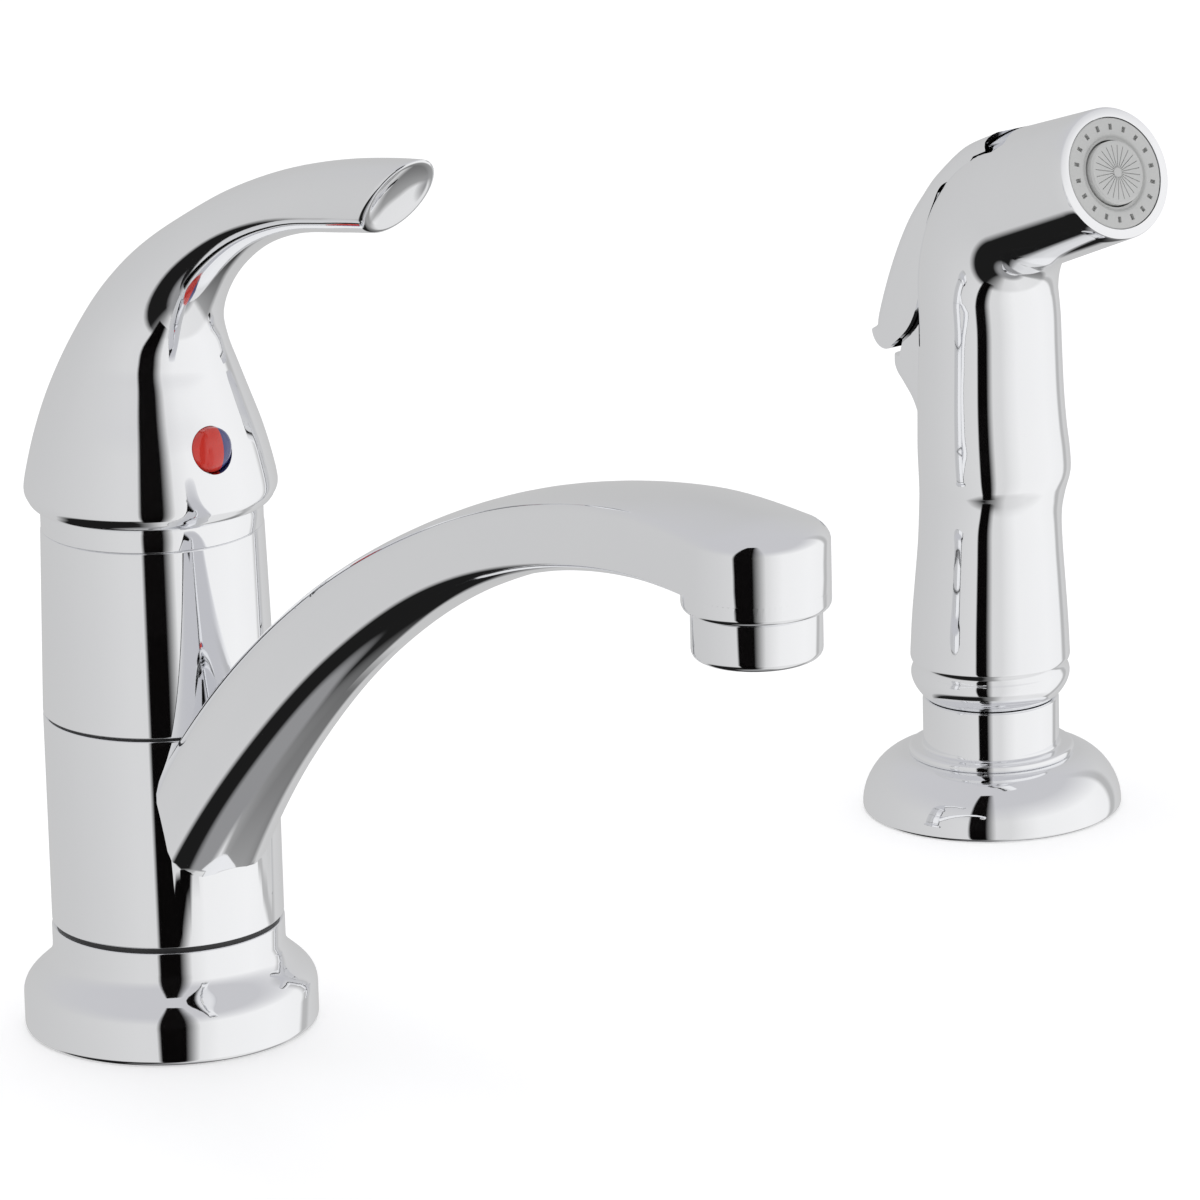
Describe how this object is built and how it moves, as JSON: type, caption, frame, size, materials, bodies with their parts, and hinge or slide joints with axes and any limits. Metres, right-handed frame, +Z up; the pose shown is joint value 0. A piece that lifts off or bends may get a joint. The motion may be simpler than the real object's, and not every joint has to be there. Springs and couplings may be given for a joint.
{
  "type": "kitchen faucet",
  "caption": "Chrome single-lever kitchen faucet with a swivelling arched spout, and a separate hand spray with a trigger standing in its deck holder.",
  "frame": {"origin": "centre of the faucet's column at the deck's top face", "axes": "+Z up the column, -Y forward along the spout, +X to the side spray"},
  "size_m": [0.2578, 0.2283, 0.2341],
  "materials": {
    "chrome": "polished chrome plate",
    "brass": "turned brass",
    "black_rubber": "matte moulded rubber",
    "black_plastic": "matte moulded plastic",
    "white_plastic": "matte moulded plastic",
    "grey_plastic": "satin moulded plastic",
    "ceramic": "lapped ceramic",
    "steel": "plain steel",
    "index_plastic": "red and blue moulded plastic"
  },
  "bodies": {
    "fixed": {"base_ring": "chrome", "deck_gasket": "black_rubber", "mounting_shank": "brass", "mounting_washer": "steel", "mounting_nut": "brass", "valve_body": "brass", "diverter_housing": "white_plastic", "lower_bearing_ring": "black_plastic", "upper_bearing_ring": "black_plastic", "spout_seals": "black_rubber", "body_sleeve": "chrome", "bonnet": "chrome", "cartridge_base": "white_plastic", "cartridge_seals": "black_rubber", "fixed_disc": "ceramic", "cartridge_housing": "white_plastic", "cartridge_nut": "brass", "spray_holder": "chrome", "holder_gasket": "black_rubber", "spray_guide": "chrome", "holder_washer": "black_rubber", "holder_nut": "black_plastic"},
    "spout": {"spout": "chrome", "aerator_housing": "chrome", "aerator_insert": "white_plastic", "aerator_washer": "black_rubber"},
    "turner": {"stem_guide": "white_plastic", "stem_pin": "steel"},
    "handle": {"handle": "chrome", "cartridge_stem": "brass", "handle_set_screw": "steel", "index_button": "index_plastic"},
    "disc": {"moving_disc": "ceramic", "disc_carrier": "white_plastic"},
    "diverter": {"diverter_piston": "black_plastic"},
    "coupling": {"hose_coupling": "brass"},
    "wand": {"wand_body": "chrome", "spray_face": "grey_plastic", "spray_button": "grey_plastic", "trigger_pin": "steel"},
    "trigger": {"spray_trigger": "chrome"},
    "plunger": {"valve_plunger": "white_plastic"}
  },
  "joints": [
    {"name": "spout_swivel", "type": "hinge", "parent": "fixed", "child": "spout", "pos_m": [0, 0, 0.042], "axis": [0, 0, 1], "range_deg": [-60, 60]},
    {"name": "handle_turn", "type": "hinge", "parent": "fixed", "child": "turner", "pos_m": [0, 0, 0.0925], "axis": [0, 0, 1], "range_deg": [-45, 45]},
    {"name": "handle_lift", "type": "hinge", "parent": "turner", "child": "handle", "pos_m": [0, 0, 0.0925], "axis": [-1, 0, 0], "range_deg": [0, 25]},
    {"name": "disc_slide", "type": "slide", "parent": "turner", "child": "disc", "axis": [0, -1, 0], "range_m": [0, 0.005]},
    {"name": "diverter_slide", "type": "slide", "parent": "fixed", "child": "diverter", "axis": [0, -1, 0], "range_m": [0, 0.002], "stiffness_N_per_m": 150, "springref_m": -0.002},
    {"name": "wand_lift", "type": "slide", "parent": "fixed", "child": "coupling", "axis": [0, 0, 1], "range_m": [0, 0.15]},
    {"name": "wand_turn", "type": "hinge", "parent": "coupling", "child": "wand", "pos_m": [0.2032, 0, 0.02], "axis": [0, 0, 1], "continuous": true},
    {"name": "trigger_press", "type": "hinge", "parent": "wand", "child": "trigger", "pos_m": [0.2032, -0.00403, 0.13297], "axis": [-1, 0, 0], "range_deg": [0, 2.6], "stiffness_Nm_per_rad": 3, "springref_deg": -2.86},
    {"name": "plunger_slide", "type": "slide", "parent": "wand", "child": "plunger", "axis": [0, -0.7816, -0.6237], "range_m": [0, 0.00144]}
  ],
  "couplings": [
    {"joint": "disc_slide", "follows": "handle_lift", "m_per_rad": 0.011235},
    {"joint": "plunger_slide", "follows": "trigger_press", "m_per_rad": 0.030667}
  ]
}
